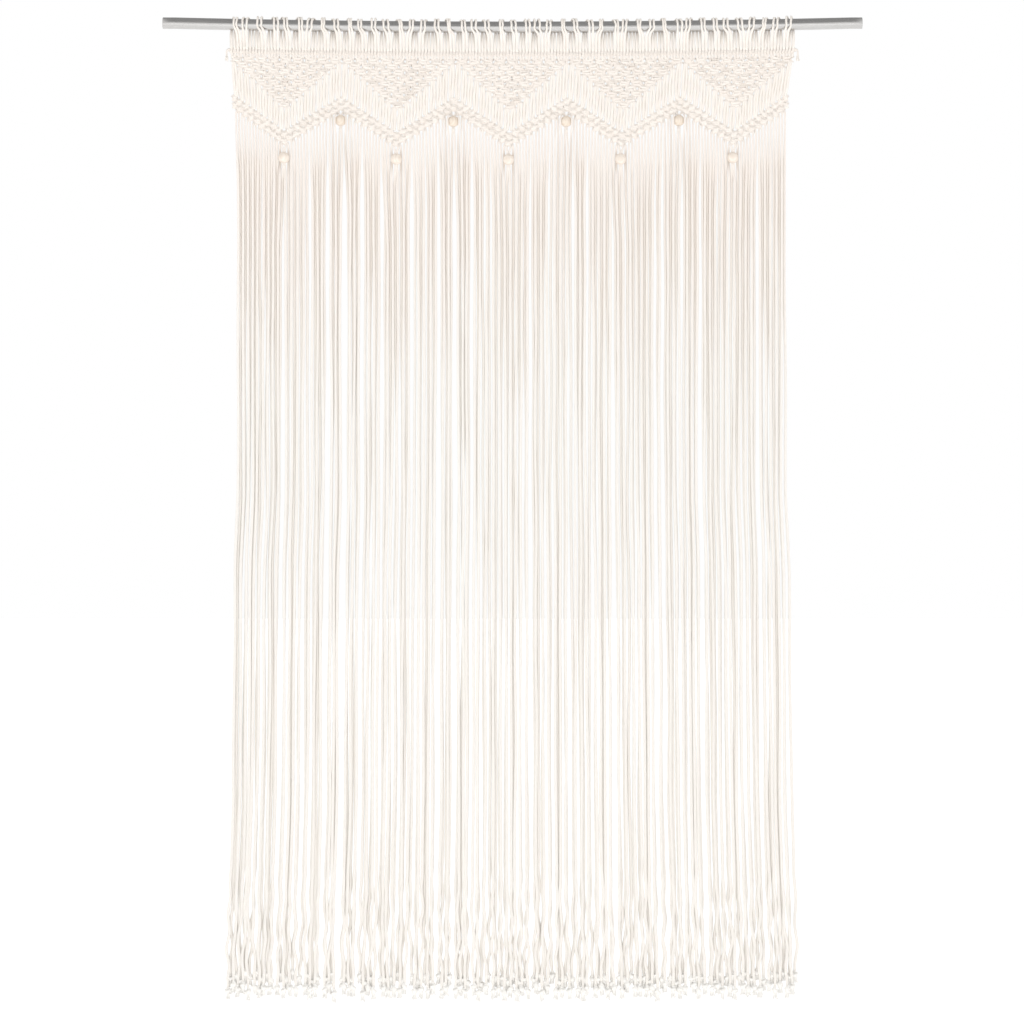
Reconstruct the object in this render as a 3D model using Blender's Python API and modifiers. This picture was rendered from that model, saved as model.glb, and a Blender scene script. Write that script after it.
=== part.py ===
"""Macrame curtain on a rod.

A plain metal rod carries a macrame curtain of 180 cotton cords: loops over the rod, a half-hitched bar,
five inverted triangles of alternating square knots, open cords, a zigzag band with wooden beads at its
points, and a long fringe of knotted cords.

Metres, +Z up. X runs along the rod, the curtain's front faces -Y. The origin is on the rod's axis at
mid-length. A "drop" is a distance down from the rod's axis.
"""
import math
import random

import bmesh
import bpy

# ---------------------------------------------------------------- driving dimensions
ROD_LENGTH = 1.710
ROD_RADIUS = 0.014
ROD_SAG = 0.010              # how far the rod's middle bows below its ends
ROD_LEVEL_END = 0.030        # level stretch at each end, where a bracket grips
ROD_SEGMENTS = 8
ROD_BEVEL_STEPS = 4          # gives a round of twelve sides

WIDTH = 1.385                # width of the curtain at its top bar
CORDS = 180
COLUMNS = 90                 # half columns of knots: two cords in each
POINTS = 5                   # inverted triangles across the width
HALF_POINT = COLUMNS // (2 * POINTS)     # half columns from an upper point of the zigzag to a lower one
CORD_WIDTH = 0.005
CORD_DEPTH = 0.0045

BAR_TOP = 0.054              # drops of the heading bar
BAR_BOTTOM = 0.0712
BAR_DEPTH = 0.011
FIRST_ROW = 0.0846           # drop of the triangles' first row of knots
ROW_STEP = 0.01344           # drop from one row of knots to the next
NET_DEPTH = 0.007
GAP_HALF_WIDTH = 0.0034      # diamond gap between four square knots
GAP_HALF_HEIGHT = 0.0040

BAND_TOP = 0.171             # drop of the zigzag band's top edge at an upper point
BAND_FALL = 0.00954          # drop gained for each half column away from an upper point
BAND_ROW = 0.009             # a quarter of the band's height
BAND_ROWS = 4
BAND_DEPTH = 0.0085
BAND_GAP_EVERY = 2           # one half column in this many has an open gap in the band
SLIT = 0.0055                # widest space between neighbouring pairs of open cords

LOOP_WIDTH = 0.010           # two cords side by side
LOOP_DEPTH = 0.004
LOOP_CLEARANCE = 0.0004
LOOP_STEPS = 3               # straight runs over the rod's top half
LOOP_SPREAD = 0.0077         # a loop's front and back feet stand this far to each side
LOOP_SLANT = 0.0055
LOOP_WANDER = 0.0045         # how far a loop sits from its even place along the rod
LOOP_LEADS = (-1, -1, -1, 1)     # most loops come down in front to the right
LOOP_SEED = 45
FOOT_SINK = 0.007
FOOT_OFFSET = 0.0012

SEAM = 0.0004                # the fringe's strip is parted from the band by this much
STRIP_HEIGHT = 0.006
STRIP_DEPTH = 0.0065
STRIP_STEP = 3               # half columns for each straight run of the strip

BEAD_RADIUS = 0.014
BEAD_BORE = 0.0045
BEAD_SIDES = 10
BEAD_ARC_POINTS = 6
BEAD_MERGE = 0.00001
LOWER_BEAD_HANG = 0.010      # from the strip down to a lower bead
THREAD_WIDTH = 0.0034        # a cord squeezed inside a bead
THREAD_OFFSET = 0.0019
BESIDE_BEAD = 3              # cords that give way on each side of a bead
BESIDE_STEP = 0.0054
CLEARANCE = 0.0004

LAYER = 0.0028               # neighbouring cords hang this far in front of and behind the curtain's plane
SETTLE = 0.075               # below its root a cord has swung to where it hangs
FRINGE_LENGTH = 2.386        # drop of the lowest cord's end
TAIL = 0.020
KNOT_WIDTH = 0.0105
KNOT_HEIGHT = 0.016
TAIL_WIDTH = 0.007
END_STAGGER = (0.000, 0.030, 0.012, 0.042)
END_JITTER = 0.012
WAVE = 0.0065                # cords wander sideways by this much near their ends
WAVE_STEP = 0.9              # radians from one pair of cords to the next
WAVE_DROPS = (2.110, 2.230)
CORD_SEED = 180

# Where four lines of the knotted heading hang: its left edge, the first and last lower points, its right edge.
# The edges draw in, and the middle swings a little to the left.
HEADING_LINES = (
    # drop, left edge, first point, last point, right edge
    (0.000, -0.6925, -0.5540, 0.5540, 0.6925),
    (0.080, -0.6890, -0.5545, 0.5545, 0.6875),
    (0.180, -0.6815, -0.5570, 0.5480, 0.6705),
    (0.300, -0.6735, -0.5595, 0.5395, 0.6675),
    (0.450, -0.6670, -0.5540, 0.5350, 0.6650),
)

# The fringe's width at each drop, as a share of the curtain's width at the bar.
WAIST = (
    # drop, share
    (0.200, 0.966),
    (0.300, 0.963),
    (0.450, 0.961),
    (1.150, 0.963),
    (1.650, 0.972),
    (1.900, 0.981),
    (2.130, 0.992),
    (2.260, 0.999),
    (2.450, 1.000),
)

# Where the fringe parts into locks: place across the curtain, measured at the bar's width, and how wide.
PARTINGS = (
    # place, width
    (-0.636, 0.004),
    (-0.583, 0.007),
    (-0.514, 0.008),
    (-0.469, 0.010),
    (-0.426, 0.014),
    (-0.382, 0.011),
    (-0.331, 0.010),
    (-0.286, 0.003),
    (-0.256, 0.011),
    (-0.219, 0.004),
    (-0.187, 0.008),
    (-0.147, 0.012),
    (-0.103, 0.010),
    (-0.070, 0.007),
    (-0.055, 0.006),
    (0.045, 0.006),
    (0.092, 0.005),
    (0.154, 0.008),
    (0.189, 0.008),
    (0.255, 0.006),
    (0.287, 0.004),
    (0.362, 0.005),
    (0.380, 0.007),
    (0.430, 0.008),
    (0.476, 0.007),
    (0.519, 0.004),
    (0.550, 0.003),
    (0.621, 0.007),
    (0.659, 0.003),
)

# ---------------------------------------------------------------- colours (linear)
COTTON = (0.86, 0.80, 0.71, 1.0)
WOOD = (0.72, 0.50, 0.28, 1.0)
STEEL = (0.62, 0.62, 0.63, 1.0)


# ---------------------------------------------------------------- where things are
def rod_height(x):
    """Height of the rod's axis: a shallow bow, level at both ends."""
    reach = min(abs(x), ROD_LENGTH / 2 - ROD_LEVEL_END) / (ROD_LENGTH / 2 - ROD_LEVEL_END)
    return ROD_SAG * reach ** 2


def read_table(table, key):
    """The other columns of a table's row for a key, read between its rows."""
    for above, below in zip(table, table[1:]):
        if key <= below[0]:
            break
    share = min((key - above[0]) / (below[0] - above[0]), 1.0)
    return [start + (end - start) * share for start, end in zip(above[1:], below[1:])]


def waist_share(drop):
    """The fringe's width at a drop, as a share of the curtain's width at the bar."""
    return read_table(WAIST, drop)[0]


def across(x, drop):
    """Where a place on the bar hangs in the heading, lower down."""
    point = WIDTH / 2 - HALF_POINT * WIDTH / COLUMNS
    lines = zip((-WIDTH / 2, -point, point, WIDTH / 2), read_table(HEADING_LINES, drop))
    return read_table(tuple(lines), x)[0]


def hang(x, drop, y=0.0):
    """The point of the heading a drop below the rod, where x is measured at the bar's width."""
    return (across(x, drop), y, rod_height(x) - drop)


def column_x(column):
    """Place of a half column's edge across the bar."""
    return -WIDTH / 2 + column * WIDTH / COLUMNS


def fall(column):
    """Half columns from the nearest upper point of the zigzag: 0 to HALF_POINT."""
    phase = column % (2 * HALF_POINT)
    return min(phase, 2 * HALF_POINT - phase)


def band_drop(column, row):
    """Drop of one row of the zigzag band; row 0 is its top edge and BAND_ROWS its bottom edge."""
    return BAND_TOP + BAND_FALL * fall(column) + BAND_ROW * row


# ---------------------------------------------------------------- materials and objects
def make_material(name, colour, roughness, metallic=0.0):
    material = bpy.data.materials.new(name)
    material.use_nodes = True
    shader = material.node_tree.nodes["Principled BSDF"]
    shader.inputs["Base Color"].default_value = colour
    shader.inputs["Roughness"].default_value = roughness
    shader.inputs["Metallic"].default_value = metallic
    return material


def make_collection(name):
    collection = bpy.data.collections.new(name)
    bpy.context.scene.collection.children.link(collection)
    return collection


def object_from_bmesh(bm, name, collection, material):
    """Turn a bmesh into a named object."""
    mesh = bpy.data.meshes.new(name)
    bm.to_mesh(mesh)
    bm.free()
    obj = bpy.data.objects.new(name, mesh)
    obj.data.materials.append(material)
    collection.objects.link(obj)
    return obj


def as_guide(obj):
    """Mark an object as a cutter or a joining piece that isn't a part itself."""
    obj.hide_render = True
    obj.display_type = 'WIRE'


def join_with(obj, guide):
    """Fuse a guide object's bodies into a part."""
    union = obj.modifiers.new("fuse " + guide.name, 'BOOLEAN')
    union.operation = 'UNION'
    union.solver = 'EXACT'
    union.object = guide


# ---------------------------------------------------------------- rod
def build_rod(parts, steel):
    curve = bpy.data.curves.new("rod", 'CURVE')
    curve.dimensions = '3D'
    curve.bevel_depth = ROD_RADIUS
    curve.bevel_resolution = ROD_BEVEL_STEPS
    curve.use_fill_caps = True
    inner = ROD_LENGTH / 2 - ROD_LEVEL_END
    places = [-ROD_LENGTH / 2]
    places += [-inner + 2 * inner * step / ROD_SEGMENTS for step in range(ROD_SEGMENTS + 1)]
    places.append(ROD_LENGTH / 2)
    spline = curve.splines.new('POLY')
    spline.points.add(len(places) - 1)
    for point, x in zip(spline.points, places):
        point.co = (x, 0.0, rod_height(x), 1.0)
    obj = bpy.data.objects.new("rod", curve)
    obj.data.materials.append(steel)
    parts.objects.link(obj)


# ---------------------------------------------------------------- heading
class Gap:
    """A place between four square knots: an open diamond, or closed to one point."""

    def __init__(self, bm, column, drop, is_open):
        x = column_x(column)
        if is_open:
            self.left = bm.verts.new(hang(x - GAP_HALF_WIDTH, drop))
            self.right = bm.verts.new(hang(x + GAP_HALF_WIDTH, drop))
            self.top = bm.verts.new(hang(x, drop - GAP_HALF_HEIGHT))
            self.bottom = bm.verts.new(hang(x, drop + GAP_HALF_HEIGHT))
        else:
            self.left = bm.verts.new(hang(x, drop))
            self.right = self.top = self.bottom = self.left


def add_face(bm, corners):
    """Add a face through its different corners, if it has at least three."""
    distinct = list(dict.fromkeys(corners))
    if len(distinct) >= 3:
        bm.faces.new(distinct)


def add_strap(bm, left, right, right_is_lower):
    """The crossing cords between two gaps that lie diagonally side by side."""
    if right_is_lower:
        add_face(bm, (left.right, left.bottom, right.left, right.top))
    else:
        add_face(bm, (left.top, left.right, right.bottom, right.left))


def build_triangles(bm):
    """Five inverted triangles of alternating square knots. Gives the gaps by half column and row."""
    gaps = {}
    for column in range(COLUMNS + 1):
        depth = fall(column)
        for row in range((depth + 1) % 2, depth + 2, 2):
            inside = 0 < row < depth + 1
            gaps[column, row] = Gap(bm, column, FIRST_ROW + ROW_STEP * (row - 1), inside)
    for column in range(1, COLUMNS):
        depth = fall(column)
        for row in range(1 + (depth + 1) % 2, depth + 1, 2):
            add_face(bm, (
                gaps[column, row - 1].bottom,
                gaps[column - 1, row].right,
                gaps[column, row + 1].top,
                gaps[column + 1, row].left,
            ))
    for (column, row), gap in gaps.items():
        for step in (1, -1):
            neighbour = gaps.get((column + 1, row + step))
            if neighbour:
                add_strap(bm, gap, neighbour, step == 1)
    return gaps


def build_bar(bm, gaps):
    """The half-hitched bar above the triangles, and the half knots that hang on it.

    Gives the points of its ridge, which runs along its lower edge.
    """
    columns = [0, *range(1, COLUMNS, 2), COLUMNS]
    feet = [bm.verts.new(hang(column_x(0), BAR_BOTTOM))]
    feet += [gaps[column, 0].left for column in columns[1:-1]]
    feet.append(bm.verts.new(hang(column_x(COLUMNS), BAR_BOTTOM)))
    for index, column in enumerate(range(0, COLUMNS + 1, 2)):
        add_face(bm, (feet[index], gaps[column, 1].top, feet[index + 1]))
    top = [bm.verts.new(hang(column_x(column), BAR_TOP)) for column in columns]
    for index in range(len(feet) - 1):
        add_face(bm, (feet[index], feet[index + 1], top[index + 1], top[index]))
    return feet


def build_band(bm):
    """The zigzag band of square knots. Gives its gaps by half column and row."""
    gaps = {}
    for column in range(COLUMNS + 1):
        for row in range(0, BAND_ROWS + 1, 2):
            is_open = row == BAND_ROWS // 2 and column % BAND_GAP_EVERY == 1
            gaps[column, row] = Gap(bm, column, band_drop(column, row), is_open)
    for column in range(COLUMNS + 1):
        for row in range(1, BAND_ROWS, 2):
            corners = [gaps[column, row - 1].bottom]
            if column > 0:
                corners.append(gaps[column - 1, row + fall(column) - fall(column - 1)].right)
            corners.append(gaps[column, row + 1].top)
            if column < COLUMNS:
                corners.append(gaps[column + 1, row + fall(column) - fall(column + 1)].left)
            add_face(bm, corners)
    for (column, row), gap in gaps.items():
        for step in (1, -1):
            if column < COLUMNS:
                neighbour = gaps.get((column + 1, row + step + fall(column) - fall(column + 1)))
                if neighbour:
                    add_strap(bm, gap, neighbour, step == 1)
    return gaps


def build_open_cords(bm, triangles, band):
    """Pairs of straight cords from the triangles' lower edges to the band's top edge."""
    for column in range(COLUMNS):
        left_top = triangles[column, fall(column) + 1].bottom
        right_top = triangles[column + 1, fall(column + 1) + 1].bottom
        left_foot = band[column, 0].top
        right_foot = band[column + 1, 0].top
        middle = (band_drop(column, 0) + FIRST_ROW + ROW_STEP * fall(column)) / 2
        left = bm.verts.new(hang(column_x(column) + SLIT / 2, middle))
        right = bm.verts.new(hang(column_x(column + 1) - SLIT / 2, middle))
        add_face(bm, (left_top, left, right, right_top))
        add_face(bm, (left, left_foot, right_foot, right))


def loop_path(column, slant, wander, lead):
    """One loop of two cords: up the front, over the rod and down the back to the bar.

    Its front foot is on the left where lead is 1, and on the right where it is -1.
    """
    centre = column_x(column)
    half_turn = math.pi / LOOP_STEPS / 2
    radius = (ROD_RADIUS + LOOP_CLEARANCE) / math.cos(half_turn) + LOOP_DEPTH / 2
    path = [(centre - lead * LOOP_SPREAD, -FOOT_OFFSET, -BAR_TOP - FOOT_SINK)]
    for step in range(LOOP_STEPS + 1):
        angle = math.pi * step / LOOP_STEPS
        side = wander - lead * slant * (1 - 2 * step / LOOP_STEPS)
        path.append((centre + side, -radius * math.cos(angle), radius * math.sin(angle)))
    path.append((centre + lead * LOOP_SPREAD, FOOT_OFFSET, -BAR_TOP - FOOT_SINK))
    return [(x, y, z + rod_height(x)) for x, y, z in path]


def add_loop(bm, path):
    """Sweep a three-sided section along a loop's path, its flat side to the rod; its ends are closed."""
    rings = []
    for index, (x, y, z) in enumerate(path):
        before = path[max(index - 1, 0)]
        after = path[min(index + 1, len(path) - 1)]
        run_y = after[1] - before[1]
        run_z = after[2] - before[2]
        length = math.hypot(run_y, run_z)
        out_y = -run_z / length * LOOP_DEPTH / 2
        out_z = run_y / length * LOOP_DEPTH / 2
        half = LOOP_WIDTH / 2
        rings.append([
            bm.verts.new((x, y + out_y, z + out_z)),
            bm.verts.new((x + half, y - out_y, z - out_z)),
            bm.verts.new((x - half, y - out_y, z - out_z)),
        ])
    close_tube(bm, rings)


def close_tube(bm, rings):
    """Join rings of points into one closed tube."""
    sides = len(rings[0])
    for upper, lower in zip(rings, rings[1:]):
        for side in range(sides):
            after = (side + 1) % sides
            bm.faces.new((upper[side], upper[after], lower[after], lower[side]))
    bm.faces.new(rings[0][::-1])
    bm.faces.new(rings[-1])


def build_loops(guides, cotton):
    """All the loops over the rod, as one guide object."""
    bm = bmesh.new()
    draw = random.Random(LOOP_SEED)
    for column in range(1, COLUMNS, 2):
        slant = draw.uniform(0.0, LOOP_SLANT)
        wander = draw.uniform(-LOOP_WANDER, LOOP_WANDER)
        add_loop(bm, loop_path(column, slant, wander, draw.choice(LOOP_LEADS)))
    bmesh.ops.recalc_face_normals(bm, faces=bm.faces)
    loops = object_from_bmesh(bm, "loops", guides, cotton)
    as_guide(loops)
    return loops


def build_heading(parts, guides, cotton):
    """The knotted heading: an open sheet made thick, with the rod loops fused to its bar."""
    bm = bmesh.new()
    triangles = build_triangles(bm)
    bar_ridge = build_bar(bm, triangles)
    band = build_band(bm)
    band_verts = set()
    for gap in band.values():
        band_verts.update((gap.left, gap.right, gap.top, gap.bottom))
    build_open_cords(bm, triangles, band)
    bmesh.ops.recalc_face_normals(bm, faces=bm.faces)
    bm.verts.index_update()
    weights = {vert.index: NET_DEPTH / BAR_DEPTH for vert in bm.verts}
    weights.update({vert.index: BAND_DEPTH / BAR_DEPTH for vert in band_verts})
    weights.update({vert.index: 1.0 for vert in bar_ridge})
    heading = object_from_bmesh(bm, "macrame_heading", parts, cotton)
    depth = heading.vertex_groups.new(name="depth")
    for index, weight in weights.items():
        depth.add([index], weight, 'REPLACE')
    thick = heading.modifiers.new("thickness", 'SOLIDIFY')
    thick.thickness = BAR_DEPTH
    thick.offset = 0.0
    thick.vertex_group = depth.name
    join_with(heading, build_loops(guides, cotton))


# ---------------------------------------------------------------- beads
def bead_columns():
    """The half columns with a bead, each with its bead's name."""
    upper = [2 * HALF_POINT * point for point in range(1, POINTS)]
    lower = [HALF_POINT * (2 * point + 1) for point in range(POINTS)]
    named = {column: "bead_upper_%d" % (index + 1) for index, column in enumerate(upper)}
    named.update({column: "bead_lower_%d" % (index + 1) for index, column in enumerate(lower)})
    return named


def strip_drop(column):
    """Drop of the lower edge of the fringe's strip."""
    return band_drop(column, BAND_ROWS) + SEAM + STRIP_HEIGHT


def bead_drop(column):
    """Drop of a bead's centre: nestled under the strip at an upper point, lower at a lower one."""
    if fall(column):
        return strip_drop(column) + LOWER_BEAD_HANG + BEAD_RADIUS
    slope = math.atan(BAND_FALL / (WIDTH / COLUMNS))
    return strip_drop(column) + (BEAD_RADIUS + CLEARANCE) / math.cos(slope)


def build_bead(name, column, parts, wood):
    """A turned ball with a bore down its middle."""
    bm = bmesh.new()
    bore_angle = math.asin(BEAD_BORE / BEAD_RADIUS)
    span = math.pi - 2 * bore_angle
    ring = []
    for index in range(BEAD_ARC_POINTS):
        angle = bore_angle + span * index / (BEAD_ARC_POINTS - 1)
        ring.append(bm.verts.new((BEAD_RADIUS * math.sin(angle), 0.0, BEAD_RADIUS * math.cos(angle))))
    for first, second in zip(ring, ring[1:] + ring[:1]):
        bm.edges.new((first, second))
    bead = object_from_bmesh(bm, name, parts, wood)
    bead.location = hang(column_x(column), bead_drop(column))
    turn = bead.modifiers.new("turned", 'SCREW')
    turn.steps = BEAD_SIDES
    turn.render_steps = BEAD_SIDES
    turn.use_merge_vertices = True
    turn.merge_threshold = BEAD_MERGE
    return bead


# ---------------------------------------------------------------- fringe
def root_place(cord):
    """Place of a cord's root across the bar."""
    return -WIDTH / 2 + (cord + 0.5) * WIDTH / CORDS


def root_x(cord):
    """Where a cord's root is."""
    place = root_place(cord)
    return across(place, root_drop(place))


def hanging_places():
    """Where the cords hang, at the bar's width: those rooted between two partings share the lock."""
    places = []
    roots = [root_x(cord) / waist_share(root_drop(root_place(cord))) for cord in range(CORDS)]
    bounds = [(-WIDTH / 2, 0.0), *PARTINGS, (WIDTH / 2, 0.0)]
    for (start, start_width), (end, end_width) in zip(bounds, bounds[1:]):
        after = -WIDTH if start == -WIDTH / 2 else start
        before = WIDTH if end == WIDTH / 2 else end
        count = sum(after <= root < before for root in roots)
        first = start + start_width / 2
        room = end - end_width / 2 - first
        places += [first + room * (index + 0.5) / count for index in range(count)]
    return places


def ring_at(bm, x, y, z, width):
    """A three-sided section of a cord, its flat side to the front."""
    depth = CORD_DEPTH * width / CORD_WIDTH
    return [
        bm.verts.new((x - width / 2, y - depth / 3, z)),
        bm.verts.new((x + width / 2, y - depth / 3, z)),
        bm.verts.new((x, y + depth * 2 / 3, z)),
    ]


def root_drop(x):
    """Drop of the strip's lower edge at a place across the bar."""
    lean = (x / WIDTH + 0.5) * COLUMNS
    left = math.floor(lean)
    return strip_drop(left) + (strip_drop(left + 1) - strip_drop(left)) * (lean - left)


def nearest_bead(cord):
    """The bead column near a cord and the cord's place beside it: 0 runs through it."""
    for column in bead_columns():
        order = max(2 * column - 1 - cord, cord - 2 * column)
        if 0 <= order <= BESIDE_BEAD:
            return column, order
    return None, None


def upper_stations(cord):
    """A cord's places from its root in the strip to past any bead: (x, y, drop, width)."""
    root = (root_x(cord), 0.0, root_drop(root_place(cord)), CORD_WIDTH)
    column, order = nearest_bead(cord)
    if column is None:
        return [root]
    centre = bead_drop(column)
    bead_x = across(column_x(column), centre)
    side = 1 if cord >= 2 * column else -1
    if order == 0:
        offset = side * THREAD_OFFSET
        return [(bead_x + offset, 0.0, root_drop(column_x(column) + offset), THREAD_WIDTH),
                (bead_x + offset, 0.0, centre + BEAD_RADIUS, THREAD_WIDTH)]
    beside = BEAD_RADIUS + CORD_WIDTH / 2 + CLEARANCE + BESIDE_STEP * (order - 1)
    offset = side * max(beside, abs(root[0] - bead_x))
    above = (bead_x + offset, 0.0, centre - BEAD_RADIUS / 2, CORD_WIDTH)
    below = (bead_x + offset, 0.0, centre + BEAD_RADIUS / 2, CORD_WIDTH)
    if fall(column):
        return [root, above, below]
    return [(bead_x + offset, 0.0, root_drop(column_x(column) + offset), CORD_WIDTH), below]


def add_cord(bm, cord, place, wave_drop, end):
    """One hanging cord with its end knot and frayed tail."""
    y = LAYER if cord % 2 else -LAYER
    stations = upper_stations(cord)
    settle = stations[-1][2] + SETTLE
    knot_top = end - TAIL - KNOT_HEIGHT
    sway = WAVE * math.sin(cord // 2 * WAVE_STEP + (cord % 2) * math.pi)
    for drop, offset in ((settle, 0.0), (wave_drop, sway)):
        stations.append((place * waist_share(drop) + offset, y, drop, CORD_WIDTH))
    for drop, width in ((knot_top, CORD_WIDTH), (end - TAIL, KNOT_WIDTH), (end, TAIL_WIDTH)):
        stations.append((place * waist_share(drop), y, drop, width))
    x, y_root, drop, width = stations[0]
    stations[0] = (x, y_root, drop - STRIP_HEIGHT / 2, width)
    rings = [ring_at(bm, x, y, rod_height(place) - drop, width) for x, y, drop, width in stations]
    close_tube(bm, rings)


def build_cords(guides, cotton):
    """All the hanging cords, as one guide object."""
    bm = bmesh.new()
    draw = random.Random(CORD_SEED)
    for cord, place in enumerate(hanging_places()):
        end = FRINGE_LENGTH - END_STAGGER[cord % len(END_STAGGER)] - draw.uniform(0, END_JITTER)
        add_cord(bm, cord, place, draw.uniform(*WAVE_DROPS), end)
    bmesh.ops.recalc_face_normals(bm, faces=bm.faces)
    cords = object_from_bmesh(bm, "cords", guides, cotton)
    as_guide(cords)
    return cords


def build_fringe(parts, guides, cotton):
    """The narrow zigzag strip under the band, with the hanging cords fused to it."""
    bm = bmesh.new()
    upper = []
    lower = []
    for column in range(0, COLUMNS + 1, STRIP_STEP):
        x = column_x(column)
        drop = strip_drop(column)
        upper.append(bm.verts.new(hang(x, drop - STRIP_HEIGHT)))
        lower.append(bm.verts.new(hang(x, drop)))
    for index in range(len(upper) - 1):
        add_face(bm, (upper[index], lower[index], lower[index + 1], upper[index + 1]))
    fringe = object_from_bmesh(bm, "fringe", parts, cotton)
    thick = fringe.modifiers.new("thickness", 'SOLIDIFY')
    thick.thickness = STRIP_DEPTH
    thick.offset = 0.0
    join_with(fringe, build_cords(guides, cotton))


# ---------------------------------------------------------------- the curtain
def main():
    for obj in list(bpy.data.objects):
        bpy.data.objects.remove(obj, do_unlink=True)
    parts = make_collection("macrame curtain")
    guides = make_collection("guides")
    cotton = make_material("cotton", COTTON, 0.9)
    wood = make_material("wood", WOOD, 0.55)
    steel = make_material("steel", STEEL, 0.3, 1.0)
    build_rod(parts, steel)
    build_heading(parts, guides, cotton)
    build_fringe(parts, guides, cotton)
    for column, name in bead_columns().items():
        build_bead(name, column, parts, wood)


main()
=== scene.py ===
"""Looks of the macrame curtain on a rod: its cords, knots and beads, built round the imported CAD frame.

Metres, +Z up, X along the rod, the curtain's front faces -Y, origin on the rod's axis at mid-length.
A "drop" is a distance down from the rod's axis. Places on the curtain are (x, y, drop), with x measured
at the bar's width.
"""

import math
import random

import bpy
import numpy as np
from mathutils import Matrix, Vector


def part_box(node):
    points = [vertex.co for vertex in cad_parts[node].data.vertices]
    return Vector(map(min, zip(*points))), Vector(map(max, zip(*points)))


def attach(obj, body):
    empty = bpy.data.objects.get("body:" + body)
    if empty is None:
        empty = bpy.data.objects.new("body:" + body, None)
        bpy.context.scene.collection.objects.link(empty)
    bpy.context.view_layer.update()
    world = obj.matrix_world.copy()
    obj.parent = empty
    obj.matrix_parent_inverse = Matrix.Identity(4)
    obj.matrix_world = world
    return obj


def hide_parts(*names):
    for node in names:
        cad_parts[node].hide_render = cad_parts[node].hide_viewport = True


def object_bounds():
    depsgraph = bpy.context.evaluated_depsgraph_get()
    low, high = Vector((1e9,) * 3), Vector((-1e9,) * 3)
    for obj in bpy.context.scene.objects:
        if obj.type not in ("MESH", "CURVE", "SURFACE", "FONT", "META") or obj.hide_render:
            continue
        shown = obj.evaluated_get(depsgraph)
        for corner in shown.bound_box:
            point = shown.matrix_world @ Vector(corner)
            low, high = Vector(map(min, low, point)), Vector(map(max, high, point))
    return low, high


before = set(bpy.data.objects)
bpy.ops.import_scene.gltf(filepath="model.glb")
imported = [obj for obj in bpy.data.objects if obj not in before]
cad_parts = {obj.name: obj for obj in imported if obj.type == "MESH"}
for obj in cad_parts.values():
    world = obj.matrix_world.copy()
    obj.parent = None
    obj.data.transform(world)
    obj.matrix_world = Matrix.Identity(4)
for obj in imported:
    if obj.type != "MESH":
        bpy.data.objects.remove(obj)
CAD_LOW, CAD_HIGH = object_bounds()

# ---------------- sizes from the CAD nodes
ROD_LOW, ROD_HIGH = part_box("rod")
ROD_HALF = ROD_HIGH.x
ROD_RADIUS = (ROD_HIGH.y - ROD_LOW.y) / 2
ROD_SAG = ROD_HIGH.z - ROD_RADIUS
ROD_LEVEL_END = 0.030  # level stretch at each end, for a bracket

CORDS = 180
COLUMNS = 90  # half columns of knots: two cords in each
HALF_POINT = 9  # half columns from an upper point to a lower one
CORD = 0.0050  # diameter of a hanging cord pulled tight
LOOSE_CORD = 0.0037  # radius of a loose cord, which swells a little
TIGHT = 0.0048  # diameter of a cord in a knot

BAR_TOP = 0.054  # drops of the half-hitched bar
BAR_BOTTOM = 0.0712
FIRST_ROW = 0.0846  # drop of the triangles' first row of knots
ROW_STEP = 0.01344  # drop from one row of knots to the next
BAND_TOP = 0.171  # drop of the band's top edge at an upper point
BAND_FALL = 0.00954  # drop gained for each half column away from an upper point
BAND_ROW = 0.009  # a quarter of the band's height
BAND_ROWS = 4
STRIP_DROP = 0.0064  # from the band's lower edge to the roots of the fringe

BEAD_RADIUS = 0.014
BEAD_BORE = 0.0045  # radius of the hole

# Where four lines of the knotted heading hang. Its edges draw in, and it swings a little to the left.
HEADING_LINES = np.array((
    # drop, left edge, first and last lower point, right edge
    (0.000, -0.6925, -0.5540, 0.5540, 0.6925),
    (0.080, -0.6890, -0.5545, 0.5545, 0.6875),
    (0.180, -0.6815, -0.5570, 0.5480, 0.6705),
    (0.300, -0.6735, -0.5595, 0.5395, 0.6675),
    (0.450, -0.6670, -0.5540, 0.5350, 0.6650),
))

# The fringe's width at each drop, as a share of its width at the bar.
WAIST = np.array((
    # drop, share
    (0.200, 0.966),
    (0.300, 0.964),
    (0.450, 0.963),
    (1.150, 0.964),
    (1.320, 0.974),
    (1.900, 0.981),
    (2.130, 0.993),
    (2.260, 0.999),
    (2.450, 1.000),
))
EDGE_OUT = (0.006, 0.001)  # how far the outermost locks spread past the bar

# Where the fringe parts into locks: place across the curtain and how wide.
PARTINGS = (
    # place, width
    (-0.636, 0.004), (-0.583, 0.007), (-0.514, 0.008), (-0.469, 0.010), (-0.426, 0.014), (-0.382, 0.011),
    (-0.331, 0.010), (-0.286, 0.003), (-0.256, 0.011), (-0.219, 0.004), (-0.187, 0.008), (-0.147, 0.012),
    (-0.103, 0.010), (-0.070, 0.007), (-0.055, 0.006), (0.045, 0.006), (0.092, 0.005), (0.154, 0.008),
    (0.189, 0.008), (0.255, 0.006), (0.287, 0.004), (0.362, 0.005), (0.380, 0.007), (0.430, 0.008),
    (0.476, 0.007), (0.519, 0.004), (0.550, 0.003), (0.621, 0.007), (0.659, 0.003),
)

# ---------------- the camera's framing
VIEW_WIDTH = 2.5037  # how much it sees across, at the curtain
VIEW_X = -0.0012  # its middle, across and down
VIEW_DROP = 1.1851
CAMERA_DISTANCE = 8.0
SENSOR = 36.0


# ---------------- where things are
def rod_height(x):
    """Height of the rod's axis: a shallow bow, level at both ends."""
    inner = ROD_HALF - ROD_LEVEL_END
    return ROD_SAG * (np.minimum(np.abs(x), inner) / inner) ** 2


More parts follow.
